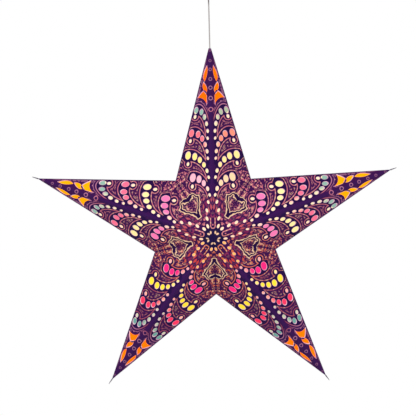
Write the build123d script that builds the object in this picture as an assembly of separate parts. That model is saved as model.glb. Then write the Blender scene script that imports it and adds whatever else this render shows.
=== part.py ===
# A hanging star lantern made of folded and cut paper. Five four-sided paper points are glued together
# along their valleys, coloured paper shows through the windows cut in them, and a lamp hangs inside on
# the lead that also carries the star. Millimetres, +Z up, front towards -Y, origin on the ceiling.
from build123d import *
import os
from math import cos, hypot, radians, sin, tan

# Paper star
point_names = ["top", "right", "lower_right", "lower_left", "left"]
tip_radius = 315.0  # centre to where the four folds of a point meet
valley_radius = 108.5  # centre to the inner corners of the outline
half_depth = 100.0  # centre to the front and the back apex
paper = 0.4  # thickness of the folded sheet
tab_width = 14.0  # glue tabs turned inwards along the valleys
tab_end_gap = 9.0  # tabs stop this short of the axis, where ten of them would meet
nib_length = 9.0  # pinched end of the sheet past a free tip
nib_root = 1.5
nib_end = 0.7

# Coloured paper glued inside the points, in bands from the centre to the tip
tint_paper = 0.15
tint_clearance = 0.3  # from the glue tabs
tint_names = ["pink", "yellow", "rose", "green", "amber"]
tint_edge_shares = [0.04, 0.273, 0.375, 0.473, 0.679, 0.902]  # along the ridge, of the tip radius
tint_slant_shares = [0.0, 0.5, 0.71, 1.17, 0.0, 0.0]  # how far an edge runs outwards for each mm sideways

# Windows: rows of oval beads on quarter ellipses, from the side fold to the ridge
row_centre_shares = [0.19, 0.28, 0.39, 0.515]  # ellipse centres along the ridge, of the tip radius
row_reach_shares = [0.108, 0.133, 0.142, 0.137]  # their half lengths, of the tip radius
row_side_shares = [0.50, 0.74, 0.74, 0.74]  # ellipse centres sideways, of the half width there
row_rise_shares = [0.42, 0.66, 0.62, 0.60]  # their half widths, of the half width
row_first_angles = [94.0, 94.0, 98.0, 98.0]  # degrees round the ellipse, at the side fold
row_last_angles = [13.0, 10.0, 4.0, -5.0]  # by the ridge
row_bead_counts = [5, 6, 6, 6]
row_cut_counts = [4, 5, 4, 4]  # beads cut through, the few small ones left by the ridge being printed
row_powers = [0.86, 0.88, 0.77, 0.75]  # below 1, beads crowd together towards the ridge
row_lengths = [14.6, 13.8, 12.8, 11.8]  # the largest bead of each row
row_widths = [9.6, 9.2, 8.4, 6.6]
ridge_bead_length = 5.8  # the smallest
ridge_bead_width = 4.2
side_bead_tilt_angle = -16.0  # degrees from the ridge's direction
ridge_bead_tilt_angle = 14.0
fine_bead_count = 1  # beads of a row, from the side fold, that are cut with more sides
fine_sides = 8
plain_sides = 6

# Windows: a fan and two leaves beside the ridge near each tip. Each has two pointed ends, joined by an
# outer and an inner curve through one middle place each, as shares of tip radius and half width
petal_shares = [
    [(0.684, 0.29), (0.717, 0.85), (0.743, 0.46), (0.712, 0.54)],
    [(0.738, 0.33), (0.801, 0.68), (0.768, 0.60), (0.766, 0.31)],
    [(0.801, 0.56), (0.888, 0.52), (0.838, 0.77), (0.844, 0.42)],
]
petal_steps = 3  # straight stretches in each curve

# Lead and what it carries
lead_diameter = 2.2
lead_clearance = 0.1  # round the lead in the cut end of the top point
stop_length = 14.0  # wooden stop on the lead that holds the star up from inside
stop_clearance = 0.25
stop_top_drop = 6.0  # below the cut end of the top point

bulb_radius = 12.5
bulb_drop = 24.0  # end of the bulb below the star's centre
bulb_end_bevel = 4.0
bulb_shoulder = 5.0  # height of the taper from the cover to the neck
bulb_neck_radius = 9.5
bulb_neck_height = 31.0  # star's centre to where the neck meets the screw cap
bulb_cap_radius = 6.9
bulb_cap_length = 19.0
bulb_pin_radius = 3.0
bulb_pin_length = 2.0
thread_clearance = 0.1
sleeve_wall = 0.5
holder_radius = 14.0
holder_neck_gap = 3.0  # from the bulb's neck up to the skirt
contact_thickness = 5.0
contact_radius = 11.0
contact_clearance = 0.2
holder_cap_height = 9.0
holder_cap_wall = 2.0
nipple_radius = 5.0  # clamps the lead on top of the holder
nipple_height = 6.0

# Ceiling fitting, out of sight above the star
cord_drop = 92.0  # from the cut end of the top point to the grip
grip_radius = 6.5
grip_height = 13.0
tube_radius = 4.9
cup_radius = 32.0
cup_height = 26.0
cup_wall = 1.2
cup_edge_bevel = 5.0
strap_thickness = 2.0
strap_width = 14.0
strap_length = 60.0
screw_spacing = 46.0
screw_hole_radius = 2.25

# Where things meet, worked out from the sizes above
turn = 360.0 / len(point_names)
half_turn = radians(turn / 2)
valley_side = valley_radius * sin(half_turn)
valley_along = valley_radius * cos(half_turn)
side_fold = hypot(tip_radius - valley_along, valley_side)
edge_distance = tip_radius * valley_side / side_fold
facet_distance = edge_distance * half_depth / hypot(edge_distance, half_depth)
paper_scale = 1 - paper / facet_distance
tint_scale = 1 - (paper + tint_paper) / facet_distance
point_spread = valley_side / (tip_radius - valley_along)
point_rise = half_depth / tip_radius
tip_inradius = point_spread * point_rise / hypot(point_spread, point_rise)  # for each mm below the tip
lead_radius = lead_diameter / 2
inner_tip = tip_radius * paper_scale
cut_tip = inner_tip - (lead_radius + lead_clearance) / tip_inradius

grip_bottom = cut_tip + cord_drop
cup_bottom = grip_bottom + grip_height
ceiling = cup_bottom + cup_height
hang = Pos(0, 0, -ceiling)  # from the star's centre to the ceiling's frame


def half_width(along):
    """Half the width of a point, seen from the front, at a distance from the star's centre."""
    if along < valley_along:
        return along * tan(half_turn)
    return (tip_radius - along) * point_spread


def spot(share, side):
    """A place on the front of the top point, from its shares of tip radius and half width."""
    along = share * tip_radius
    return side * half_width(along), along


def closed(faces):
    return Solid(Shell([Face(Wire.make_polygon(corners)) for corners in faces]))


def corner_set(scale):
    """Tip, front apex, back apex and the two inner corners of the top point, scaled about the centre."""
    tip = Vector(0, 0, tip_radius) * scale
    front = Vector(0, -half_depth, 0) * scale
    back = Vector(0, half_depth, 0) * scale
    right = Vector(valley_side, 0, valley_along) * scale
    left = Vector(-valley_side, 0, valley_along) * scale
    return tip, front, back, right, left


def folded_layer(outer_scale, inner_scale):
    """The four facets of a point as one folded sheet, open towards the centre."""
    tip, front, back, right, left = corner_set(outer_scale)
    tip_in, front_in, back_in, right_in, left_in = corner_set(inner_scale)
    ring = [front, right, back, left]
    ring_in = [front_in, right_in, back_in, left_in]
    faces = []
    for n in range(4):
        m = (n + 1) % 4
        faces.append([tip, ring[n], ring[m]])
        faces.append([tip_in, ring_in[m], ring_in[n]])
        faces.append([ring[n], ring_in[n], ring_in[m], ring[m]])
    return closed(faces)


def upright(outline):
    """A prism through front and back over an outline drawn as (sideways, along) pairs."""
    face = Plane.XZ * Polygon(*outline, align=None)
    return extrude(face, amount=half_depth, both=True)


def bead(share, side, length, width, tilt, sides):
    """Outline of an oval window, with corners set out evenly round it."""
    across, along = spot(share, side)
    lean = radians(tilt)
    corners = []
    for n in range(sides):
        angle = radians(360 * (n + 0.5) / sides)
        forward = length / 2 * cos(angle)
        outward = width / 2 * sin(angle)
        corners.append(
            (across + outward * cos(lean) + forward * sin(lean), along + forward * cos(lean) - outward * sin(lean))
        )
    return corners


def bead_row(row):
    """The windows of one row on the right half of a point."""
    outlines = []
    for n in range(row_cut_counts[row]):
        inward = n / (row_bead_counts[row] - 1)
        swing = (row_first_angles[row] - row_last_angles[row]) * inward ** row_powers[row]
        angle = radians(row_first_angles[row] - swing)
        share = row_centre_shares[row] + row_reach_shares[row] * sin(angle)
        side = row_side_shares[row] - row_rise_shares[row] * cos(angle)
        length = row_lengths[row] + (ridge_bead_length - row_lengths[row]) * inward
        width = row_widths[row] + (ridge_bead_width - row_widths[row]) * inward
        tilt = side_bead_tilt_angle + (ridge_bead_tilt_angle - side_bead_tilt_angle) * inward
        sides = fine_sides if n < fine_bead_count else plain_sides
        outlines.append(bead(share, side, length, width, tilt, sides))
    return outlines


def petal(start, end, outer, inner):
    """Outline of a pointed window, from its two ends and the middles of its two sides."""
    first, last, bulge, hollow = [Vector(*spot(*place)) for place in (start, end, outer, inner)]
    corners = []
    for a, b, middle in ((first, last, bulge), (last, first, hollow)):
        pull = middle * 2 - (a + b) / 2
        for n in range(petal_steps):
            share = n / petal_steps
            corners.append(a * (1 - share) ** 2 + pull * 2 * share * (1 - share) + b * share**2)
    return [(corner.X, corner.Y) for corner in corners]


def mirrored(outline):
    return [(-across, along) for across, along in outline]


def windows():
    """Cutters for every window of a point, front and back."""
    outlines = [outline for row in range(len(row_cut_counts)) for outline in bead_row(row)]
    outlines += [petal(*places) for places in petal_shares]
    return [upright(outline) for one in outlines for outline in (one, mirrored(one))]


def glue_tab(side):
    """The turned-in edge along the front and back valley on one side of a point."""
    reach = valley_radius * half_depth / hypot(valley_radius, half_depth)
    inner = 1 - tab_width / reach
    near = tab_end_gap / valley_radius
    outline = [
        (tab_end_gap, -half_depth * (1 - near)),
        (valley_radius, 0),
        (tab_end_gap, half_depth * (1 - near)),
        (tab_end_gap, half_depth * (inner - near)),
        (valley_radius * inner, 0),
        (tab_end_gap, -half_depth * (inner - near)),
    ]
    plane = Plane(
        origin=(0, 0, 0),
        x_dir=(side * sin(half_turn), 0, cos(half_turn)),
        z_dir=(-side * cos(half_turn), 0, sin(half_turn)),
    )
    return extrude(plane * Polygon(*outline, align=None), amount=paper)


def cut_sheet():
    """A point's sheet with its windows and glue tabs, before its tip is finished."""
    sheet = folded_layer(1, paper_scale)
    for side in (1, -1):
        sheet = sheet + glue_tab(side)
    return sheet - windows()


def free_point(sheet):
    """A point whose tip is pinched into a nib."""
    root = Plane.XY.offset(tip_radius - nib_root) * Rectangle(nib_root, nib_root)
    end = Plane.XY.offset(tip_radius + nib_length) * Rectangle(nib_end, nib_end)
    return sheet + loft([root, end])


def top_point(sheet):
    """The point whose tip is cut off to let the lead out."""
    cut_off = Pos(0, 0, cut_tip) * Box(
        valley_radius, valley_radius, tip_radius, align=(Align.CENTER, Align.CENTER, Align.MIN)
    )
    return sheet - cut_off


def below(edge):
    """Everything on the centre's side of a tint edge."""
    ridge = tint_edge_shares[edge] * tip_radius
    outer = ridge + tint_slant_shares[edge] * valley_side
    return upright(
        [(0, ridge), (valley_side, outer), (valley_side, -tip_radius), (-valley_side, -tip_radius), (-valley_side, outer)]
    )


def tint_layer():
    """The room for coloured paper inside a point, clear of its glue tabs."""
    inset = (paper + tint_clearance) / sin(half_turn)
    spread = valley_side * tip_radius / valley_along
    sector = upright([(0, inset), (spread, inset + tip_radius), (-spread, inset + tip_radius)])
    return folded_layer(paper_scale, tint_scale) & sector


def tint_bands():
    """One folded strip of coloured paper for each colour, from the centre out."""
    layer = tint_layer()
    return [(layer & below(n + 1)) - below(n) for n in range(len(tint_names))]


def ring_of(outer, inner, low, high):
    """A round sleeve between two heights."""
    tube = Cylinder(outer, high - low, align=(Align.CENTER, Align.CENTER, Align.MIN))
    bore = Cylinder(inner, high - low, align=(Align.CENTER, Align.CENTER, Align.MIN))
    return Pos(0, 0, low) * (tube - bore)


def turned(outline):
    """A round piece from half of its section, as (radius, height) pairs."""
    return revolve(Plane.XZ * Polygon(*outline, align=None), Axis.Z)


cap_top = bulb_neck_height + bulb_cap_length
pin_top = cap_top + bulb_pin_length
skirt_bottom = bulb_neck_height + holder_neck_gap
sleeve_inner = bulb_cap_radius + thread_clearance
sleeve_outer = sleeve_inner + sleeve_wall
contact_top = pin_top + contact_thickness
cap_shoulder = contact_top + holder_cap_height
holder_top = cap_shoulder + nipple_height


def make_bulb():
    """Tubular bulb: frosted cover, neck and screw cap as one sealed piece."""
    bottom = -bulb_drop
    shoulder = bulb_neck_height - bulb_shoulder
    return turned(
        [
            (0, bottom),
            (bulb_radius - bulb_end_bevel, bottom),
            (bulb_radius, bottom + bulb_end_bevel),
            (bulb_radius, shoulder),
            (bulb_neck_radius, bulb_neck_height),
            (bulb_cap_radius, bulb_neck_height),
            (bulb_cap_radius, cap_top),
            (bulb_pin_radius, cap_top),
            (bulb_pin_radius, pin_top),
            (0, pin_top),
        ]
    )


def make_holder_shell():
    """Skirt round the screw sleeve, with a wider seat above it for the contact block."""
    seat = contact_radius + contact_clearance
    return turned(
        [
            (sleeve_outer, skirt_bottom),
            (holder_radius, skirt_bottom),
            (holder_radius, contact_top),
            (seat, contact_top),
            (seat, pin_top),
            (sleeve_outer, pin_top),
        ]
    )


def make_holder_cap():
    """Cap over the holder, hollow for the wire ends, with a nipple that grips the lead."""
    hollow_top = cap_shoulder - holder_cap_wall
    return turned(
        [
            (contact_radius, contact_top),
            (holder_radius, contact_top),
            (holder_radius, cap_shoulder),
            (nipple_radius, cap_shoulder),
            (nipple_radius, holder_top),
            (lead_radius, holder_top),
            (lead_radius, hollow_top),
            (contact_radius, hollow_top),
        ]
    )


def make_cord_stop():
    """Round stop inside the cut tip. The paper hangs on its upper rim."""
    top = cut_tip - stop_top_drop
    radius = (inner_tip - top) * tip_inradius - stop_clearance
    return ring_of(radius, lead_radius, top - stop_length, top)


def lead_tube(route):
    """A round lead along straight runs joined by tangent arcs as large as the runs allow."""
    radii = []
    for before, here, after in zip(route, route[1:], route[2:]):
        arriving = Vector(*here) - Vector(*before)
        leaving = Vector(*after) - Vector(*here)
        bend = radians(arriving.get_angle(leaving))
        radii.append(0.45 * min(arriving.length, leaving.length) / tan(bend / 2))
    path = FilletPolyline(*route, radius=radii)
    profile = Plane(origin=path @ 0, z_dir=path % 0) * Circle(lead_radius)
    tube = sweep(profile, path)
    print("lead arcs", [round(radius) for radius in radii], "length", round(path.length, 2))
    print("volume over section times length", round(tube.volume / (Circle(lead_radius).area * path.length), 5))
    return tube


def cord_route():
    """The free cord's points, from the cut tip up to the grip."""
    return [
        (0, 0, cut_tip),
        (0.3, 0.1, cut_tip + 0.55 * cord_drop),
        (0, 0, grip_bottom),
    ]


def make_cup():
    """Ceiling cup, open towards the ceiling, with a hole for the fixing tube."""
    inner_radius = cup_radius - cup_wall
    return turned(
        [
            (tube_radius, cup_bottom),
            (cup_radius - cup_edge_bevel, cup_bottom),
            (cup_radius, cup_bottom + cup_edge_bevel),
            (cup_radius, ceiling),
            (inner_radius, ceiling),
            (inner_radius, cup_bottom + cup_edge_bevel),
            (inner_radius - cup_edge_bevel + cup_wall, cup_bottom + cup_wall),
            (tube_radius, cup_bottom + cup_wall),
        ]
    )


def make_strap():
    """Fixing strap that lies against the ceiling inside the cup."""
    outline = SlotOverall(strap_length, strap_width) - Circle(tube_radius)
    for across in (-screw_spacing / 2, screw_spacing / 2):
        outline -= Pos(across, 0) * Circle(screw_hole_radius)
    return extrude(Pos(0, 0, ceiling) * outline, amount=-strap_thickness)


def make_parts():
    """Every piece by name, in the star's frame."""
    parts = {}
    sheet = cut_sheet()
    bands = tint_bands()
    for n, name in enumerate(point_names):
        place = Rot(0, n * turn, 0)
        parts["point_" + name] = place * (free_point(sheet) if n else top_point(sheet))
        for tint, band in zip(tint_names, bands):
            parts[tint + "_paper_" + name] = place * band
    parts["bulb"] = make_bulb()
    parts["screw_sleeve"] = ring_of(sleeve_outer, sleeve_inner, skirt_bottom, pin_top)
    parts["holder_shell"] = make_holder_shell()
    parts["contact_block"] = ring_of(contact_radius, lead_radius, pin_top, contact_top)
    parts["holder_cap"] = make_holder_cap()
    parts["inner_lead"] = ring_of(lead_radius, 0, pin_top, cut_tip)
    parts["cord_stop"] = make_cord_stop()
    parts["hanging_cord"] = lead_tube(cord_route())
    parts["cord_grip"] = ring_of(grip_radius, 0, grip_bottom, cup_bottom)
    parts["fixing_tube"] = ring_of(tube_radius, lead_radius, cup_bottom, ceiling)
    parts["ceiling_cup"] = make_cup()
    parts["ceiling_strap"] = make_strap()
    return parts


os.makedirs("parts", exist_ok=True)
for name, shape in make_parts().items():
    export_step(hang * shape, f"parts/{name}.step")
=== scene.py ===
from math import cos, hypot, radians, sin, tan
import bmesh
import bpy
from mathutils import Matrix, Vector


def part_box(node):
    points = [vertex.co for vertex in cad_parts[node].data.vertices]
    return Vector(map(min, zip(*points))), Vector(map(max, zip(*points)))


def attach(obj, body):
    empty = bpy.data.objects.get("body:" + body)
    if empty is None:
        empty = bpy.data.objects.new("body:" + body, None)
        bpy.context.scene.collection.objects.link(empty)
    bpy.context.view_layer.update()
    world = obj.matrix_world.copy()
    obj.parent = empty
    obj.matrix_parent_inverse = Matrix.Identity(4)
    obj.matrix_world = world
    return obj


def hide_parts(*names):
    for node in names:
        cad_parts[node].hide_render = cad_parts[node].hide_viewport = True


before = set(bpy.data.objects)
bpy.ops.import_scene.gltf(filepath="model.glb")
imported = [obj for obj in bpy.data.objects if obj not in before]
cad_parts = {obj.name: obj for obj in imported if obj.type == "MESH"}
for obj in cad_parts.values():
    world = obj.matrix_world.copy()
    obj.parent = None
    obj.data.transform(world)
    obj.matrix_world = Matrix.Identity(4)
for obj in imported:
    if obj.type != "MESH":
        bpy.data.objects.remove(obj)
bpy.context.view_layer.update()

mm = 0.001

# Shape of the star, as in the CAD model. Its centre is the foot of the top point.
star = {
    "points": ["top", "right", "lower_right", "lower_left", "left"],
    "centre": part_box("point_top")[0][2],
    "cutEnd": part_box("point_top")[1][2],
    "tip": 315 * mm,
    "valley": 108.5 * mm,
    "depth": 100 * mm,
    "paper": 0.4 * mm,
    "turn": radians(72),
}
valleySide = star["valley"] * sin(star["turn"] / 2)
valleyAlong = star["valley"] * cos(star["turn"] / 2)
sideFold = hypot(star["tip"] - valleyAlong, valleySide)
edgeDistance = star["tip"] * valleySide / sideFold
pointSpread = valleySide / (star["tip"] - valleyAlong)
tipLength = star["tip"] / mm  # shader patterns count in millimetres
atCentre = Matrix.Translation((0, 0, star["centre"]))


def halfWidth(along):
    if along < valleyAlong:
        return along * tan(star["turn"] / 2)
    return (star["tip"] - along) * pointSpread


# Shader maths: one output socket with arithmetic, and one method for every other node
class Wire:
    def __init__(self, tree, socket):
        self.tree = tree
        self.socket = socket

    def node(self, kind, links, output=0, **options):
        made = self.tree.nodes.new("ShaderNode" + kind)
        for name, value in options.items():
            setattr(made, name, value)
        for name, value in links.items():
            if isinstance(value, Wire):
                self.tree.links.new(value.socket, made.inputs[name])
            else:
                made.inputs[name].default_value = value
        return Wire(self.tree, made.outputs[output])

    def maths(self, operation, *others):
        return self.node("Math", dict(enumerate([self, *others])), operation=operation)

    def __add__(self, other):
        return self.maths("ADD", other)

    def __sub__(self, other):
        return self.maths("SUBTRACT", other)

    def __mul__(self, other):
        return self.maths("MULTIPLY", other)

    def __truediv__(self, other):
        return self.maths("DIVIDE", other)

    def __rsub__(self, other):
        return self * -1 + other

    def __rtruediv__(self, other):
        return self.maths("POWER", -1) * other

    def __abs__(self):
        return self.maths("ABSOLUTE")

    __radd__ = __add__
    __rmul__ = __mul__

    # The largest of several values
    def most(self, *others):
        found = self
        for other in others:
            found = found.maths("MAXIMUM", other)
        return found

    # The smallest of several values
    def least(self, *others):
        found = self
        for other in others:
            found = found.maths("MINIMUM", other)
        return found

    # 0 below the low value, 1 above the high one; the other way round if low is the larger
    def ramp(self, low, high):
        links = {"Value": self, "From Min": low, "From Max": high}
        return self.node("MapRange", links, interpolation_type="SMOOTHSTEP")

    def mix(self, first, second):
        return self.node("Mix", {0: self, 6: first, 7: second}, 2, data_type="RGBA")


def paint(red, green, blue):
    linear = []
    for value in (red, green, blue):
        share = value / 255
        linear.append(share / 12.92 if share < 0.04045 else ((share + 0.055) / 1.055) ** 2.4)
    return (*linear, 1)


def newMaterial(name, settings):
    made = bpy.data.materials.new(name)
    made.use_nodes = True
    tree = made.node_tree
    shader = tree.nodes["Principled BSDF"]
    for key, value in settings.items():
        shader.inputs[key].default_value = value
    place = tree.nodes.new("ShaderNodeTexCoord")
    return made, shader, Wire(tree, place.outputs["Object"])


def feed(shader, name, wire):
    wire.tree.links.new(wire.socket, shader.inputs[name])


def apart(across, up):
    return (across * across + up * up).maths("SQRT")


# Where a place lies within its half of a point, in millimetres, and its direction from upright
def pointCoordinates(place):
    across, up = [place.node("SeparateXYZ", {0: place}, n) / mm for n in (0, 2)]
    up = up - star["centre"] / mm
    radius = apart(across, up)
    heading = across.maths("ARCTAN2", up)
    turned = heading - (heading / star["turn"]).maths("ROUND") * star["turn"]
    along = radius * turned.maths("COSINE")
    side = abs(radius * turned.maths("SINE"))
    return along, side, heading


# Fades in from one share of the tip radius to another
def within(along, span):
    return along.ramp(span[0] * tipLength, span[1] * tipLength)


print("frame loaded, star's centre at", round(star["centre"], 5))

# Rows of oval windows on quarter ellipses from the side fold to the ridge. Centres and reaches are
# shares of the tip radius, sides and rises of the half width there, sizes and places millimetres.
# Each row has a spare bead by the side fold.
rows = [
    {
        "name": "pink", "centre": 0.190, "reach": 0.108, "side": 0.50, "rise": 0.42,
        "angles": (94, 13), "count": 5, "power": 0.86, "size": (15.0, 10.0), "spare": (79.4, 33.9),
    },
    {
        "name": "yellow", "centre": 0.280, "reach": 0.133, "side": 0.74, "rise": 0.66,
        "angles": (94, 10), "count": 6, "power": 0.88, "size": (14.2, 9.6), "spare": (115.9, 41.2),
    },
    {
        "name": "rose", "centre": 0.390, "reach": 0.142, "side": 0.74, "rise": 0.62,
        "angles": (98, 4), "count": 6, "power": 0.77, "size": (13.6, 9.0), "spare": (154.1, 36.4),
    },
    {
        "name": "green", "centre": 0.515, "reach": 0.137, "side": 0.74, "rise": 0.60,
        "angles": (98, -5), "count": 6, "power": 0.75, "size": (12.6, 7.4), "spare": (194.3, 27.6),
    },
]
window = {
    "ridgeSize": (5.8, 4.2),
    "spareSize": (7.4, 5.0),
    "tilts": (-16, 14),
    "rim": 0.35 * mm,
    "sides": 24,
    # along, side, length and width of the small ones by the ridge near the centre
    "inner": [(56, 7, 6.4, 4.2), (42.6, 9.4, 6.8, 4.6), (29.8, 9.4, 7, 4.4), (17.9, 8.5, 7, 4.4)],
    "innerTilt": 20,
    "petalSteps": 9,
    "petalInset": (0.96, 0.98),
}
# Each petal has two ends and the middles of its outer and inner side, as shares of tip radius
# and half width
petals = [
    [(0.681, 0.25), (0.715, 0.94), (0.754, 0.41), (0.710, 0.52)],
    [(0.737, 0.33), (0.802, 0.68), (0.768, 0.65), (0.767, 0.28)],
    [(0.800, 0.56), (0.889, 0.52), (0.838, 0.82), (0.844, 0.36)],
]


# Every oval of half a point: side, along, length, width, tilt
def ovals():
    found = []
    for row in rows:
        first, last = row["angles"]
        for n in range(row["count"]):
            inward = n / (row["count"] - 1)
            angle = radians(first - (first - last) * inward ** row["power"])
            along = star["tip"] * (row["centre"] + row["reach"] * sin(angle))
            side = halfWidth(along) * (row["side"] - row["rise"] * cos(angle))
            sizes = zip(row["size"], window["ridgeSize"])
            length, width = [big + (small - big) * inward for big, small in sizes]
            tilt = window["tilts"][0] + (window["tilts"][1] - window["tilts"][0]) * inward
            found.append((side, along, length * mm, width * mm, tilt))
        along, side = row["spare"]
        length, width = window["spareSize"]
        found.append((side * mm, along * mm, length * mm, width * mm, window["tilts"][0]))
    for along, side, length, width in window["inner"]:
        found.append((side * mm, along * mm, length * mm, width * mm, window["innerTilt"]))
    return found


# Outline of a pointed window, from its two ends and the middles of its two sides
def petalOutline(places):
    found = []
    for share, side in places:
        along = share * star["tip"]
        found.append(Vector((side * halfWidth(along), along, 0)))
    first, last, bulge, hollow = found
    corners = []
    for a, b, middle in ((first, last, bulge), (last, first, hollow)):
        pull = middle * 2 - (a + b) / 2
        for n in range(window["petalSteps"]):
            share = n / window["petalSteps"]
            corners.append(a * (1 - share) ** 2 + pull * 2 * share * (1 - share) + b * share**2)
    return corners


def everything(bm):
    return bm.verts[:] + bm.edges[:] + bm.faces[:]


def vertsOf(made):
    return [part for part in made["geom"] if isinstance(part, bmesh.types.BMVert)]


def facesOf(made):
    return [part for part in made["geom"] if isinstance(part, bmesh.types.BMFace)]


# Material slots of a sheet, after the printed paper
rimSlot = 1
nibSlot = 2


# One facet in plan, x sideways and y along the ridge, with its windows and their rims
def facetPlate(bm):
    corners = []
    for place in ((0, 0, 0), (valleySide, valleyAlong, 0), (0, star["tip"], 0)):
        corners.append(bm.verts.new(place))
    for n in range(3):
        bm.edges.new((corners[n - 1], corners[n]))
    rings = []
    for side, along, length, width, tilt in ovals():
        place = Matrix.Translation((side, along, 0)) @ Matrix.Rotation(radians(-tilt), 4, "Z")
        size = Matrix.Diagonal((width / 2, length / 2, 1, 1))
        made = bmesh.ops.create_circle(bm, segments=window["sides"], radius=1, matrix=place @ size)
        rims = [1 - 2 * window["rim"] / across for across in (width, length)]
        inset = Matrix.Diagonal((*rims, 1, 1))
        rings.append((made["verts"], place @ inset @ place.inverted()))
    for places in petals:
        verts = [bm.verts.new(corner) for corner in petalOutline(places)]
        middle = sum((v.co for v in verts), Vector()) / len(verts)
        for n in range(len(verts)):
            bm.edges.new((verts[n - 1], verts[n]))
        place = Matrix.Translation(middle)
        inset = Matrix.Diagonal((*window["petalInset"], 1, 1))
        rings.append((verts, place @ inset @ place.inverted()))
    bmesh.ops.triangle_fill(bm, use_beauty=True, edges=bm.edges[:], normal=(0, 0, 1))
    for verts, inset in rings:
        edges = [edge for edge in bm.edges if edge.is_boundary and set(edge.verts) <= set(verts)]
        made = bmesh.ops.extrude_edge_only(bm, edges=edges)
        bmesh.ops.transform(bm, matrix=inset, verts=vertsOf(made))
        for face in facesOf(made):
            face.material_index = rimSlot
    return bm


# Glue tabs turned inwards along both valleys, clear of the axis where ten of them would meet
tab = {"width": 14 * mm, "endGap": 9 * mm}


def glueTabs(bm):
    reach = star["valley"] * star["depth"] / hypot(star["valley"], star["depth"])
    foldLine = 1 - star["paper"] / reach
    endDepth = star["depth"] * (1 - tab["endGap"] / star["valley"])
    for side in (1, -1):
        ends = [bm.verts.new((0, y, tab["endGap"])) for y in (-endDepth, endDepth)]
        fold = bm.verts.new((0, 0, star["valley"]))
        edges = [bm.edges.new((end, fold)) for end in ends]
        strip = bmesh.ops.extrude_edge_only(bm, edges=edges)
        inner = vertsOf(strip)
        bmesh.ops.scale(bm, vec=[foldLine] * 3, verts=[*ends, fold])
        bmesh.ops.scale(bm, vec=[1 - tab["width"] / reach] * 3, verts=inner)
        lifted = vertsOf(bmesh.ops.extrude_face_region(bm, geom=facesOf(strip), use_keep_orig=True))
        bmesh.ops.translate(bm, vec=(-star["paper"], 0, 0), verts=lifted)
        turned = Matrix.Diagonal((side, 1, 1, 1)) @ Matrix.Rotation(star["turn"] / 2, 4, "Y")
        offValley = Matrix.Translation((-star["paper"] / 2, 0, 0))
        place = atCentre @ turned @ offValley
        bmesh.ops.transform(bm, matrix=place, verts=[*ends, fold, *inner, *lifted])


# Cuts across the plate, which keep its triangles short, and how near its points are joined
strips = {"count": 15, "length": 20 * mm, "snap": 1e-7, "weld": 2e-6}

# Pinched paper at the end of each free point, its middle measured from the tip
nib = {"middle": 3.8 * mm, "cone": {"radius1": 1.4 * mm, "radius2": 0.6 * mm, "depth": 10.4 * mm}}


# The plan is raised onto the slope, mirrored to four facets and given its thickness
def pointSheet(name):
    bm = facetPlate(bmesh.new())
    for n in range(1, strips["count"] + 1):
        cut = {"plane_co": (0, n * strips["length"], 0), "plane_no": (0, 1, 0)}
        bmesh.ops.bisect_plane(bm, geom=everything(bm), dist=strips["snap"], **cut)
    slope = star["depth"] / edgeDistance / sideFold
    raised = Matrix((
        (1, 0, 0, 0),
        (slope * (star["tip"] - valleyAlong), slope * valleySide, 0, -star["depth"]),
        (0, 1, 0, star["centre"]),
        (0, 0, 0, 1),
    ))
    bmesh.ops.transform(bm, matrix=raised, verts=bm.verts[:])
    for flip in (Matrix.Diagonal((-1, 1, 1, 1)), Matrix.Diagonal((1, -1, 1, 1))):
        copy = bmesh.ops.duplicate(bm, geom=everything(bm))
        bmesh.ops.transform(bm, matrix=flip, verts=vertsOf(copy))
    bmesh.ops.remove_doubles(bm, verts=bm.verts[:], dist=strips["weld"])
    bmesh.ops.recalc_face_normals(bm, faces=bm.faces[:])
    if name == "top":
        cut = {"plane_co": (0, 0, star["cutEnd"]), "plane_no": (0, 0, 1)}
        bmesh.ops.bisect_plane(bm, geom=everything(bm), clear_outer=True, **cut)
    # every facet lies equally far from the star's centre, so a smaller copy is its inner side
    facetDistance = edgeDistance * star["depth"] / hypot(edgeDistance, star["depth"])
    shrunk = Matrix.Diagonal((*[1 - star["paper"] / facetDistance] * 3, 1))
    inner = vertsOf(bmesh.ops.extrude_face_region(bm, geom=bm.faces[:], use_keep_orig=True))
    bmesh.ops.transform(bm, matrix=atCentre @ shrunk @ atCentre.inverted(), verts=inner)
    glueTabs(bm)
    if name != "top":
        place = Matrix.Translation((0, 0, star["centre"] + star["tip"] + nib["middle"]))
        place = place @ Matrix.Rotation(radians(45), 4, "Z")
        made = bmesh.ops.create_cone(bm, cap_ends=True, segments=4, matrix=place, **nib["cone"])
        for face in {face for vert in made["verts"] for face in vert.link_faces}:
            face.material_index = nibSlot
    bmesh.ops.recalc_face_normals(bm, faces=bm.faces[:])
    return bm


def finishMesh(name, bm, materials):
    mesh = bpy.data.meshes.new(name)
    bm.to_mesh(mesh)
    bm.free()
    made = bpy.data.objects.new(name, mesh)
    bpy.context.scene.collection.objects.link(made)
    for material in materials:
        mesh.materials.append(material)
    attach(made, "root")
    return made


inks = {
    "ground": paint(70, 19, 84),
    "bed": paint(40, 9, 72),
    # the ridge ink is that of a painted highlight along the ridge fold
    "ridge": paint(60, 26, 96),
    "navy": paint(34, 20, 72),
    "copper": paint(202, 110, 126),
    "cream": paint(238, 196, 158),
    "rust": paint(172, 78, 94),
    "gold": paint(218, 112, 70),
    "mauve": paint(196, 128, 158),
    "ember": paint(200, 64, 62),
    "berry": paint(122, 32, 84),
    "salmon": paint(184, 82, 96),
    "unlit": paint(10, 2, 18),
}


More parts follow.
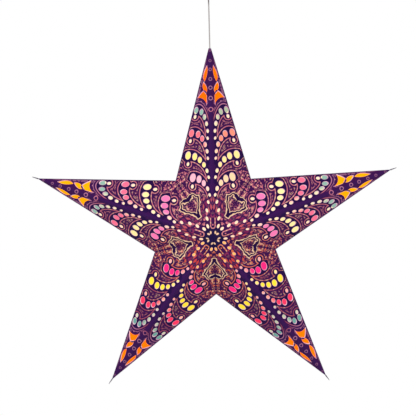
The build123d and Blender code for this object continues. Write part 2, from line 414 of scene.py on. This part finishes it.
# The print: lengths are millimetres, spans are shares of the tip radius, fades run from off to on
pattern = {
    # the emission strength is a painted glow of the print, as if lit through from the lamp inside
    "surface": {"Roughness": 0.72, "Specular IOR Level": 0.06, "Emission Strength": 0.36},
    "narrowest": 0.5,
    "noise": {
        "wander": {"Scale": 0.085, "Detail": 1},
        "curls": {"Scale": 0.09, "Detail": 1, "Distortion": 0.9},
        "breaks": {"Scale": 0.22, "Detail": 1},
        "specks": {"Scale": 0.21, "Detail": 0},
    },
    # dark band under each row of beads, broader towards the side fold
    "bed": {
        "breadth": 3.2, "margin": 0.8, "widest": 95, "foldEnd": 104, "ridgeEnd": 12, "endFall": 45,
        "spareRadius": 5.6, "blend": 3, "span": (0.715, 0.70), "edge": (-0.5, 0.5),
    },
    "outline": {"off": 0.7, "width": 1.4},
    "crescent": {"off": 4.6, "width": 1.1, "wave": 4, "breaks": (0.40, 0.50), "strength": 0.7},
    # curling lines between the rows
    "filler": {
        "curl": 5, "pitch": 14, "width": 0.30, "breaks": (0.37, 0.47), "specks": (0.63, 0.68),
        "thinning": 0.1, "speckThinning": 0.5, "thinSpan": (0.3, 0.45), "offBed": (4.6, 5.6),
        "offLoop": (1.2, 2.2), "inLoop": (-5.8, -6.6), "inLoopStrength": 0.9,
    },
    # arrow-shaped double line astride each valley
    "loop": {
        "ridgeSide": 21.5, "outerPlace": (67.7, 21.4), "outerSlant": (0.81, 0.585),
        "notchPlace": 72, "notchSlant": (0.969, 0.247), "wave": 13,
        "lines": ((0, 1.6), (4.6, 1.3)), "offBed": (1.4, 2),
        "creamOut": (1.4, 0.8), "creamIn": (-7, -6), "darkOut": (0.5, -0.5), "darkIn": (-5.5, -4.5),
    },
    "border": {"side": (0.7, 1.8), "along": (48, 36)},
    # plain stripe down the ridge
    "ridge": {
        "side": 3.5, "more": 3, "moreSpan": (0.66, 0.35), "edge": 1.5,
        # glow and glowSpan set a painted highlight along the ridge fold
        "glow": 0.6, "glowSpan": (0.15, 0.25), "middleSpan": (0.215, 0.19), "centre": (13, 15),
    },
    "rings": {
        "places": (0.652, 0.711, 0.766, 0.812, 0.863, 0.91, 0.965), "radius": 3.3, "shrink": 0.28,
        "width": 1.3, "fade": 0.1,
    },
    "edging": {
        "side": 0.86, "width": 0.14, "breaks": (0.38, 0.5), "strength": 0.5,
        "from": (0.70, 0.72), "to": (0.94, 0.88),
    },
    # short slots between the ridge and the loops
    "slots": {
        "size": (14, 4.2), "wave": (8, 7), "shift": 0.37, "taper": (1.5, 1.3),
        "shape": (0.66, 0.50), "along": (29, 33), "side": (20.5, 19), "offLoop": (1.2, 2.2),
        "clearing": 0.85, "glow": 0.8, "bright": (0.45, 0.48), "gold": (0.84, 0.87),
    },
    # long narrow loop on each ridge by the centre, clear ground round it
    "bow": {
        "middle": 27, "straight": 8, "radius": 3.6, "width": 1.6, "end": (33, 30),
        "around": {"along": (34, 30), "side": (12.5, 11.5)},
    },
    "dot": {"middle": (21, 0), "halfSize": (1.3, 1.1)},
    "fleck": {"middle": (8.6, 3.7), "halfSize": (2.4, 1.4)},
    # where the lines turn paler, warmer and mauve, the ground navy, and where painted shade darkens
    # everything
    "light": {"breaks": (0.52, 0.64), "span": (0.66, 0.5), "strength": 0.7},
    "warm": {"span": (0.42, 0.20), "strength": 0.75},
    "mauve": (0.62, 0.70),
    "navy": (26, 14),
    "dusk": {"low": 0.16, "all": 0.12, "span": (0.28, 0.40)},
    "lowPoints": (0.55, -0.6),
}


# Distance from the bed of a row of beads, below zero inside it
def bedDistance(row, along, side, widthHere):
    bed = pattern["bed"]
    ahead = (along / tipLength - row["centre"]) / row["reach"]
    inward = (row["side"] - side / widthHere) / row["rise"]
    turned = ahead.maths("ARCTAN2", inward)
    towardsFold = turned.ramp(0, radians(bed["widest"]))
    reach = row["reach"] * tipLength
    rise = widthHere * row["rise"]
    scale = rise + (reach - rise) * towardsFold
    breadth = bed["breadth"] + towardsFold * (row["size"][0] / 2 - bed["margin"])
    ridgeEnd = radians(row["angles"][1] - bed["ridgeEnd"])
    past = (turned - radians(bed["foldEnd"])).most(ridgeEnd - turned, 0) * bed["endFall"]
    band = abs(apart(ahead, inward) - 1) * scale + past - breadth
    spareAlong, spareSide = row["spare"]
    spare = apart(along - spareAlong, side - spareSide) - bed["spareRadius"]
    return band.node("Math", {0: band, 1: spare, 2: bed["blend"]}, operation="SMOOTH_MIN")


lineFade = (0.75, 0.3)  # shares of a line's width where it ends and where it is full
spotFade = (1.3, 0.7)  # the same for an oval, in squares of its half size


# A line of a width, soft at both edges, where a value is nearly zero
def lineWhere(value, width):
    return abs(value).ramp(width * lineFade[0], width * lineFade[1])


# Inside an oval
def spot(along, side, settings):
    (spotAlong, spotSide), (halfLength, halfBreadth) = settings["middle"], settings["halfSize"]
    down = (along - spotAlong) / halfLength
    across = (side - spotSide) / halfBreadth
    return (down * down + across * across).ramp(*spotFade)


# A wavy arrow shape astride each valley, below zero inside it
def valleyLoop(along, side, noise):
    loop = pattern["loop"]
    quarter = star["turn"] / 2
    run = along * cos(quarter) + side * sin(quarter)
    off = along * sin(quarter) - side * cos(quarter)
    (outerRun, outerOff), (outerDown, outerAcross) = loop["outerPlace"], loop["outerSlant"]
    outerSide = (run - outerRun) * outerDown + (off - outerOff) * outerAcross
    notchDown, notchAcross = loop["notchSlant"]
    notch = (run - loop["notchPlace"]) * notchDown - off * notchAcross
    wave = (noise["wander"] - 0.5) * loop["wave"]
    return (loop["ridgeSide"] - side).most(outerSide, notch) + wave


# Outline of the dark beds and a broken crescent above each
def bedLines(bed, noise):
    outline, crescent = pattern["outline"], pattern["crescent"]
    wavy = bed - crescent["off"] + (noise["wander"] - 0.5) * crescent["wave"]
    broken = lineWhere(wavy, crescent["width"]) * noise["breaks"].ramp(*crescent["breaks"])
    return lineWhere(bed - outline["off"], outline["width"]).most(broken * crescent["strength"])


# Curling lines and specks that fill the rest, thinner towards the tip
def fillerLines(bed, loop, along, noise):
    filler = pattern["filler"]
    flow = noise["curls"] * filler["curl"] + bed / filler["pitch"]
    thinner = within(along, filler["thinSpan"]) * filler["thinning"]
    curling = lineWhere(flow.maths("FRACT") - 0.5, filler["width"])
    curling = curling * (noise["breaks"] - thinner).ramp(*filler["breaks"])
    specks = (noise["specks"] - thinner * filler["speckThinning"]).ramp(*filler["specks"])
    inLoop = loop.ramp(*filler["inLoop"]) * filler["inLoopStrength"]
    clear = bed.ramp(*filler["offBed"]) * loop.ramp(*filler["offLoop"]).most(inLoop)
    return curling.most(specks) * clear


# Small rings down the ridge towards the tip
def ridgeRings(along, side):
    rings = pattern["rings"]
    drawn = []
    for n, share in enumerate(rings["places"]):
        distance = apart(along - share * tipLength, side) - (rings["radius"] - rings["shrink"] * n)
        drawn.append(lineWhere(distance, rings["width"]) * (1 - rings["fade"] * n))
    return drawn[0].most(*drawn[1:])


# Broken line along the side folds near the tip
def tipEdging(along, shareAcross, noise):
    edging = pattern["edging"]
    drawn = lineWhere(shareAcross - edging["side"], edging["width"])
    drawn = drawn * noise["breaks"].ramp(*edging["breaks"]) * edging["strength"]
    return drawn * within(along, edging["from"]) * within(along, edging["to"])


# Rows of short slots beside the ridge, and a chance for the ink of each
def slotRows(along, side, noise):
    slots = pattern["slots"]
    (long, broad), (waveAlong, waveAcross) = slots["size"], slots["wave"]
    rowAcross = (side + (noise["wander"] - 0.5) * waveAcross) / broad
    rowAlong = (along + (noise["curls"] - 0.5) * waveAlong) / long
    rowAlong = rowAlong + rowAcross.maths("FLOOR") * slots["shift"]
    taperAlong, taperAcross = slots["taper"]
    offMiddle = abs(rowAlong.maths("FRACT") - 0.5) * taperAlong
    offMiddle = offMiddle + abs(rowAcross.maths("FRACT") - 0.5) * taperAcross
    cell = side.node("CombineXYZ", {0: rowAlong.maths("FLOOR"), 1: rowAcross.maths("FLOOR")})
    chance = side.node("TexWhiteNoise", {"Vector": cell}, 0, noise_dimensions="2D")
    return offMiddle.ramp(*slots["shape"]), chance


def printedPaper():
    made, shader, place = newMaterial("printed_paper", pattern["surface"])
    along, side, heading = pointCoordinates(place)
    rising = along * tan(star["turn"] / 2)
    falling = (tipLength - along) * pointSpread
    widthHere = rising.least(falling).most(pattern["narrowest"])
    plan = place.node("CombineXYZ", {0: along, 1: side})
    noise = {}
    for name, settings in pattern["noise"].items():
        noise[name] = plan.node("TexNoise", {"Vector": plan, **settings})
    beds = [bedDistance(row, along, side, widthHere) for row in rows]
    bed = beds[0].least(*beds[1:])
    loop = valleyLoop(along, side, noise)

    # lines of the bead rows, the filler and the valley loops
    loops = pattern["loop"]
    lines = bedLines(bed, noise).most(fillerLines(bed, loop, along, noise))
    lines = lines * within(along, pattern["bed"]["span"])
    for depth, width in loops["lines"]:
        lines = lines.most(lineWhere(loop + depth, width) * bed.ramp(*loops["offBed"]))
    border = pattern["border"]
    lines = lines * (widthHere - side).ramp(*border["side"]).most(along.ramp(*border["along"]))

    # the ridge stays plain but for its rings
    ridge = pattern["ridge"]
    middle = within(along, ridge["middleSpan"])
    ridgeSide = ridge["side"] + ridge["more"] * within(along, ridge["moreSpan"])
    offRidge = (side - ridgeSide).ramp(0, ridge["edge"])
    lines = lines * offRidge.most(middle) * along.ramp(*ridge["centre"])
    lines = lines.most(ridgeRings(along, side), tipEdging(along, side / widthHere, noise))

    # slots, a bow on each ridge and a dot in it, and flecks round the dark centre
    slots, bow = pattern["slots"], pattern["bow"]
    slot, chance = slotRows(along, side, noise)
    beside = middle * along.ramp(*slots["along"]) * side.ramp(*slots["side"])
    beside = beside * loop.ramp(*slots["offLoop"])
    slot = slot * beside
    around = along.ramp(*bow["around"]["along"]) * side.ramp(*bow["around"]["side"])
    lines = lines * (1 - (beside * slots["clearing"]).most(around))
    legs = (abs(along - bow["middle"]) - bow["straight"]).most(0)
    bowLine = lineWhere(apart(legs, side) - bow["radius"], bow["width"]) * along.ramp(*bow["end"])
    lines = lines.most(bowLine, spot(along, side, pattern["dot"]))
    fleck = spot(along, side, pattern["fleck"])

    # inks of the lines, warmer on the lower points and paler here and there
    low = heading.maths("COSINE").ramp(*pattern["lowPoints"])
    warm = low * within(along, pattern["warm"]["span"]) * pattern["warm"]["strength"]
    light = noise["breaks"].ramp(*pattern["light"]["breaks"]) * pattern["light"]["strength"]
    light = light * within(along, pattern["light"]["span"])
    cream = loop.ramp(*loops["creamOut"]) * loop.ramp(*loops["creamIn"])
    thread = warm.mix(low.mix(inks["copper"], inks["rust"]), inks["gold"])
    thread = light.most(cream).mix(thread, inks["cream"])
    thread = within(along, pattern["mauve"]).mix(thread, inks["mauve"])
    bright = low.mix(inks["salmon"], inks["ember"])
    slotInk = chance.ramp(*slots["bright"]).mix(inks["berry"], bright)
    slotInk = chance.ramp(*slots["gold"]).mix(slotInk, low.mix(inks["copper"], inks["gold"]))

    # inks of the ground, and all of it darker on the arms as painted shade, the lower points most
    ground = bed.ramp(*pattern["bed"]["edge"]).mix(inks["bed"], inks["ground"])
    ground = (loop.ramp(*loops["darkOut"]) * loop.ramp(*loops["darkIn"])).mix(ground, inks["bed"])
    ground = along.ramp(*pattern["navy"]).mix(ground, inks["navy"])
    # painted highlight: a band of the ridge ink along the ridge fold
    ridgeHighlight = side.ramp(ridgeSide, 0) * within(along, ridge["glowSpan"]) * ridge["glow"]
    ground = ridgeHighlight.mix(ground, inks["ridge"])
    dusk = pattern["dusk"]
    shade = (low * dusk["low"] + dusk["all"]) * within(along, dusk["span"])
    colour = shade.mix(lines.mix(slot.mix(ground, slotInk), thread), inks["bed"])
    colour = fleck.mix(colour, inks["cream"])
    # painted glow: the lines, slots and flecks give off their own colour as if lit through from the
    # lamp inside, the rest gives off the unlit ink
    paintedGlow = lines.most(slot * slots["glow"], fleck)
    feed(shader, "Base Color", colour)
    feed(shader, "Emission Color", paintedGlow.mix(inks["unlit"], colour))
    return made


# Rims of the windows, which have a painted glow, and the pinched ends of the points
plainPapers = {
    "window_rim": {
        "surface": {"Roughness": 0.7, "Emission Strength": 0.4},
        "light": paint(228, 186, 200), "shade": paint(190, 130, 164), "grain": 60,
    },
    "pinched_paper": {
        "surface": {"Roughness": 0.7},
        "light": paint(120, 112, 124), "shade": paint(82, 74, 90), "grain": 300,
    },
}
mottleEdge = (0.35, 0.65)  # nearly all of a noise lies between these


def plainPaper(name):
    settings = plainPapers[name]
    made, shader, place = newMaterial(name, settings["surface"])
    grain = place.node("TexNoise", {"Vector": place, "Scale": settings["grain"]})
    colour = grain.ramp(*mottleEdge).mix(settings["shade"], settings["light"])
    feed(shader, "Base Color", colour)
    # painted glow on the window rims, as if lit through from the lamp inside
    feed(shader, "Emission Color", colour)
    return made


# Colours of the papers behind the windows, as lit and shaded copies: deeper on the lower points and
# paler on the side and top ones as painted light, and differing between the two halves of the top
# one; and of the fibres
tints = {
    "pink": {
        "lower": paint(238, 38, 120), "side": paint(240, 118, 172), "top": paint(240, 178, 190),
        "right": paint(238, 208, 160), "deep": paint(235, 90, 140),
    },
    "yellow": {
        "lower": paint(248, 216, 56), "side": paint(244, 228, 158), "top": paint(242, 222, 128),
        "right": paint(242, 222, 142), "deep": paint(236, 198, 80),
    },
    "rose": {
        "lower": paint(238, 54, 92), "side": paint(238, 108, 138), "top": paint(240, 112, 124),
        "right": paint(240, 140, 114), "deep": paint(225, 70, 100),
    },
    "green": {
        "lower": paint(100, 152, 142), "side": paint(138, 172, 158), "top": paint(136, 172, 156),
        "right": paint(168, 180, 150), "deep": paint(96, 146, 138),
    },
    "amber": {
        "lower": paint(255, 122, 0), "side": paint(255, 168, 0), "top": paint(255, 104, 0),
        "right": paint(255, 116, 0), "deep": paint(240, 92, 0),
    },
}

# What those papers share. Headings are cosines of the direction from upright.
tintLook = {
    # the emission strength is a painted glow, as if the papers were lit through from the lamp
    # inside
    "surface": {"Roughness": 0.8, "Specular IOR Level": 0.05, "Emission Strength": 0.5},
    "sideHeading": (-0.4, -0.1),
    "topHeading": (0.6, 0.85),
    "halvesHeading": (0.8, 0.9),
    "goldHeading": (-0.1, -0.4),
    "halves": (-6 * mm, 6 * mm),
    "centreSpan": (0.21, 0.19),
    "creamSide": (15, 5),
    "creamSpare": (8.5, 7),
    "creamLow": 0.5,
    "creamMore": 0.4,
    "cream": paint(250, 230, 180),
    "gold": paint(250, 196, 96),
    "fibres": {"Scale": 500, "Detail": 3},
    "fibreEdge": (0.5, 0.75),
    "fibreStrength": 0.35,
}


def tintPaper(name, settings):
    made, shader, place = newMaterial(name + "_tint", tintLook["surface"])
    along, side, heading = pointCoordinates(place)
    # painted light: the colour changes with the way the point faces, deeper on the lower points and
    # paler on the upper ones
    upright = heading.maths("COSINE")
    notLow = upright.ramp(*tintLook["sideHeading"])
    colour = notLow.mix(settings["lower"], settings["side"])
    colour = upright.ramp(*tintLook["topHeading"]).mix(colour, settings["top"])
    rightHalf = place.node("SeparateXYZ", {0: place}, 0).ramp(*tintLook["halves"])
    rightHalf = rightHalf * upright.ramp(*tintLook["halvesHeading"])
    colour = rightHalf.mix(colour, settings["right"])
    # the small beads by the ridge, round the centre and by the side folds are paler
    if name != "amber":
        nearCentre = within(along, tintLook["centreSpan"])
        cream = side.ramp(*tintLook["creamSide"]).most(nearCentre)
        for row in rows:
            if row["name"] == name:
                spareAlong, spareSide = row["spare"]
                off = abs(along - spareAlong) + abs(side - spareSide)
                cream = cream.most(off.ramp(*tintLook["creamSpare"]))
        golden = upright.ramp(*tintLook["goldHeading"]) * nearCentre
        spark = golden.mix(tintLook["cream"], tintLook["gold"])
        strength = tintLook["creamLow"] + tintLook["creamMore"] * notLow.most(nearCentre)
        colour = (cream * strength).mix(colour, spark)
    fibres = place.node("TexNoise", {"Vector": place, **tintLook["fibres"]})
    fibres = fibres.ramp(*tintLook["fibreEdge"]) * tintLook["fibreStrength"]
    colour = fibres.mix(colour, settings["deep"])
    feed(shader, "Base Color", colour)
    # painted glow: the papers give off their own colour, as if lit through from the lamp inside
    feed(shader, "Emission Color", colour)
    return made


paperMaterials = [printedPaper(), plainPaper("window_rim"), plainPaper("pinched_paper")]
for n, name in enumerate(star["points"]):
    bm = pointSheet(name)
    turned = atCentre @ Matrix.Rotation(n * star["turn"], 4, "Y") @ atCentre.inverted()
    bmesh.ops.transform(bm, matrix=turned, verts=bm.verts[:])
    sheet = finishMesh("sheet_" + name, bm, paperMaterials)
    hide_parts("point_" + name)
    print(sheet.name, "with", len(sheet.data.polygons), "faces")

for name, settings in tints.items():
    material = tintPaper(name, settings)
    for point in star["points"]:
        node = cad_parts[name + "_paper_" + point]
        node.data.materials.clear()
        node.data.materials.append(material)
print("colours on", len(tints) * len(star["points"]), "papers behind the windows")

# The lamp, its holder and the ceiling fitting keep their CAD shapes and get a finish each
fittings = {
    "bulb": {
        "light": paint(250, 246, 236), "shade": paint(232, 226, 212),
        "grain": 60, "shine": (0.22, 0.4), "bump": 0.03,
        "cap": {"above": 31 * mm, "colour": paint(196, 190, 178), "pitch": 2.8 * mm},
    },
    "screw_sleeve": {
        "light": paint(206, 178, 120), "shade": paint(168, 140, 88),
        "grain": 220, "shine": (0.2, 0.38), "bump": 0.1,
        "metal": 1, "pitch": 2.8 * mm,
    },
    "holder_shell": {
        "light": paint(46, 43, 44), "shade": paint(26, 24, 25),
        "grain": 700, "shine": (0.34, 0.52), "bump": 0.25,
    },
    "contact_block": {
        "light": paint(236, 232, 224), "shade": paint(212, 206, 194),
        "grain": 300, "shine": (0.2, 0.35), "bump": 0.08,
    },
    "holder_cap": {
        "light": paint(44, 41, 42), "shade": paint(24, 22, 23),
        "grain": 700, "shine": (0.34, 0.52), "bump": 0.25,
    },
    "inner_lead": {
        "light": paint(186, 182, 180), "shade": paint(150, 146, 144),
        "grain": 400, "shine": (0.4, 0.6), "bump": 0.15,
    },
    "cord_stop": {
        "light": paint(52, 50, 52), "shade": paint(32, 30, 32),
        "grain": 500, "shine": (0.36, 0.5), "bump": 0.2,
    },
    "cord_grip": {
        "light": paint(236, 234, 228), "shade": paint(214, 211, 203),
        "grain": 260, "shine": (0.3, 0.48), "bump": 0.12,
    },
    "fixing_tube": {
        "light": paint(198, 200, 204), "shade": paint(150, 152, 158),
        "grain": 240, "shine": (0.22, 0.45), "bump": 0.1,
        "metal": 1, "pitch": 1 * mm,
    },
    "ceiling_cup": {
        "light": paint(238, 236, 231), "shade": paint(230, 228, 221),
        "grain": 600, "shine": (0.28, 0.42), "bump": 0.06,
    },
    "ceiling_strap": {
        "light": paint(190, 192, 196), "shade": paint(140, 143, 150),
        "grain": 160, "shine": (0.25, 0.5), "bump": 0.12,
        "metal": 1, "drawn": (0.06, 1, 1),
    },
}


# Cloud and relief that all finishes share
finish = {"cloud": 45, "cloudShare": 0.4, "relief": 0.2, "depth": 0.5 * mm, "capEdge": 0.2 * mm}


def fittingFinish(name, settings):
    made, shader, place = newMaterial(name + "_finish", {"Metallic": settings.get("metal", 0)})
    drawn = settings.get("drawn", (1, 1, 1))
    pulled = place.node("VectorMath", {0: place, 1: drawn}, operation="MULTIPLY")
    grain = place.node("TexNoise", {"Vector": pulled, "Scale": settings["grain"], "Detail": 4})
    cloud = place.node("TexNoise", {"Vector": place, "Scale": finish["cloud"], "Detail": 2})
    blend = grain * (1 - finish["cloudShare"]) + cloud * finish["cloudShare"]
    colour = blend.ramp(*mottleEdge).mix(settings["shade"], settings["light"])
    smooth, rough = settings["shine"]
    relief = grain * finish["relief"]
    height = place.node("SeparateXYZ", {0: place}, 2)
    threads = settings.get("cap", settings)
    if "pitch" in threads:
        ridges = abs((height / threads["pitch"]).maths("FRACT") - 0.5) * 2
        if "cap" in settings:
            aboveCover = height - star["centre"] - threads["above"]
            metal = aboveCover.ramp(-finish["capEdge"], finish["capEdge"])
            colour = metal.mix(colour, threads["colour"])
            ridges = ridges * metal
            feed(shader, "Metallic", metal)
        relief = relief + ridges
    feed(shader, "Base Color", colour)
    feed(shader, "Roughness", grain * (rough - smooth) + smooth)
    bump = {"Height": relief, "Strength": settings["bump"], "Distance": finish["depth"]}
    feed(shader, "Normal", place.node("Bump", bump))
    return made


for name, settings in fittings.items():
    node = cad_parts[name]
    node.data.materials.clear()
    node.data.materials.append(fittingFinish(name, settings))
print("finishes on", len(fittings), "fittings")

# Cord from the cut tip up to its grip, with the points of the CAD model. Its sheath looks darker
# near the ceiling than lower down.
cord = {
    "diameter": 2.2 * mm,
    "exit": (0, 0, star["cutEnd"]),
    "route": [(0, 0, 0), (0.3, 0.1, 50.6), (0, 0, 92)],
    "surface": {"Roughness": 0.5},
    "speck": {"Scale": 400, "Detail": 2},
    "fade": (-52 * mm, -62 * mm),
    "above": (paint(84, 80, 78), paint(112, 108, 106)),
    "below": (paint(168, 162, 160), paint(196, 190, 188)),
}


def hangingCord():
    curve = bpy.data.curves.new("cord", "CURVE")
    curve.dimensions = "3D"
    curve.bevel_depth = 1  # metres, scaled by each point's radius, which also sets the curve's box
    curve.bevel_resolution = 5
    curve.use_fill_caps = True
    curve.resolution_u = 12
    spline = curve.splines.new("NURBS")
    spline.points.add(len(cord["route"]) - 1)
    for point, (x, y, z) in zip(spline.points, cord["route"]):
        point.co = (x * mm, y * mm, z * mm + cord["exit"][2], 1)
        point.radius = cord["diameter"] / 2
    spline.order_u = 3
    spline.use_endpoint_u = True
    made = bpy.data.objects.new("cord", curve)
    bpy.context.scene.collection.objects.link(made)
    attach(made, "root")
    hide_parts("hanging_cord")
    return made


def cordSheath():
    made, shader, place = newMaterial("cord_sheath", cord["surface"])
    speck = place.node("TexNoise", {"Vector": place, **cord["speck"]})
    below = place.node("SeparateXYZ", {0: place}, 2).ramp(*cord["fade"])
    feed(shader, "Base Color", below.mix(speck.mix(*cord["above"]), speck.mix(*cord["below"])))
    return made


cordPiece = hangingCord()
cordPiece.data.materials.append(cordSheath())
print("cord", cord["route"][-1][2], "mm long")

# Camera fitted to the photograph
view = {"place": (0.0421, -1.5234, 0.1754), "turn": (84.914, 1.548, 1.828), "lens": 78.007}
camera = bpy.data.objects.new("camera", bpy.data.cameras.new("camera"))
bpy.context.scene.collection.objects.link(camera)
camera.location = Vector(view["place"]) + atCentre.translation
camera.rotation_euler = [radians(angle) for angle in view["turn"]]
camera.data.lens = view["lens"]
camera.data.sensor_width = 36
camera.data.clip_start = 0.01
bpy.context.scene.camera = camera

# White surroundings for the camera and in reflections, softer light on the paper
surroundings = {"onPaper": 0.55, "seen": 1.0}
world = bpy.data.worlds.new("studio")
bpy.context.scene.world = world
world.use_nodes = True
tree = world.node_tree
tree.nodes.clear()
rays = tree.nodes.new("ShaderNodeLightPath")
seen = Wire(tree, rays.outputs["Is Camera Ray"])
for kind in ("Is Glossy Ray", "Is Transmission Ray"):
    seen = seen.most(Wire(tree, rays.outputs[kind]))
more = surroundings["seen"] - surroundings["onPaper"]
strength = seen * more + surroundings["onPaper"]
background = seen.node("Background", {"Color": (1, 1, 1, 1), "Strength": strength})
output = tree.nodes.new("ShaderNodeOutputWorld")
tree.links.new(background.socket, output.inputs["Surface"])

lamps = {
    "key": {"place": (-0.9, -1.4, 0.9), "size": 1.2, "power": 12},
    "fill": {"place": (1.3, -1.0, -0.1), "size": 1.4, "power": 6},
}
for name, settings in lamps.items():
    lamp = bpy.data.objects.new(name, bpy.data.lights.new(name, "AREA"))
    bpy.context.scene.collection.objects.link(lamp)
    lamp.location = Vector(settings["place"]) + atCentre.translation
    towards = atCentre.translation - lamp.location
    lamp.rotation_euler = towards.to_track_quat("-Z", "Y").to_euler()
    lamp.data.size = settings["size"]
    lamp.data.energy = settings["power"]
print("camera and", len(lamps), "lights placed")

bpy.context.scene.view_settings.view_transform = "Standard"
